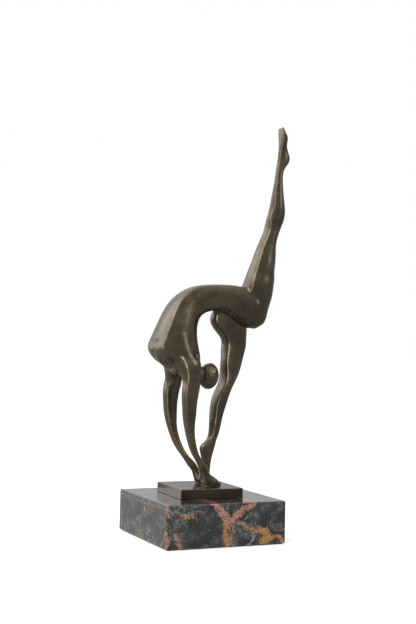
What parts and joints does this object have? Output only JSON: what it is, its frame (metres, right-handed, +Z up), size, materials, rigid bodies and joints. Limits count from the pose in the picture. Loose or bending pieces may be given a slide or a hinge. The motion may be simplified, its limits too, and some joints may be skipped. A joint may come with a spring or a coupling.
{
  "type": "bronze gymnast statuette",
  "caption": "Stylised bronze gymnast in a one-legged back bend, one leg raised, on a square bronze plate bolted to a veined marble block with a felt underside.",
  "frame": {"origin": "centre of the felt underside, on the surface the statuette stands on", "axes": "+Z up; +X the way the gymnast's hips face, along one side of the marble block; +Y across the bend, towards the gymnast's standing (left) leg"},
  "size_m": [0.1457, 0.12, 0.4016],
  "materials": {
    "marble": "polished",
    "felt": "felt",
    "bronze_figure": "satin brown patina",
    "bronze_plate": "satin brown patina, edges worn bright",
    "steel": "zinc plated"
  },
  "bodies": {
    "root": {"marble_base": "marble", "felt_sheet": "felt", "plinth_plate": "bronze_plate", "stud_left": "steel", "stud_right": "steel", "washer_left": "steel", "washer_right": "steel", "nut_left": "steel", "nut_right": "steel", "torso": "bronze_figure", "head": "bronze_figure", "arm_right": "bronze_figure", "arm_left": "bronze_figure", "leg_raised": "bronze_figure", "leg_standing": "bronze_figure", "dowel_neck": "steel", "dowel_hip_right": "steel", "dowel_hip_left": "steel", "dowel_shoulder_right": "steel", "dowel_shoulder_left": "steel", "dowel_hand_right": "steel", "dowel_hand_left": "steel", "dowel_foot": "steel"}
  },
  "joints": []
}
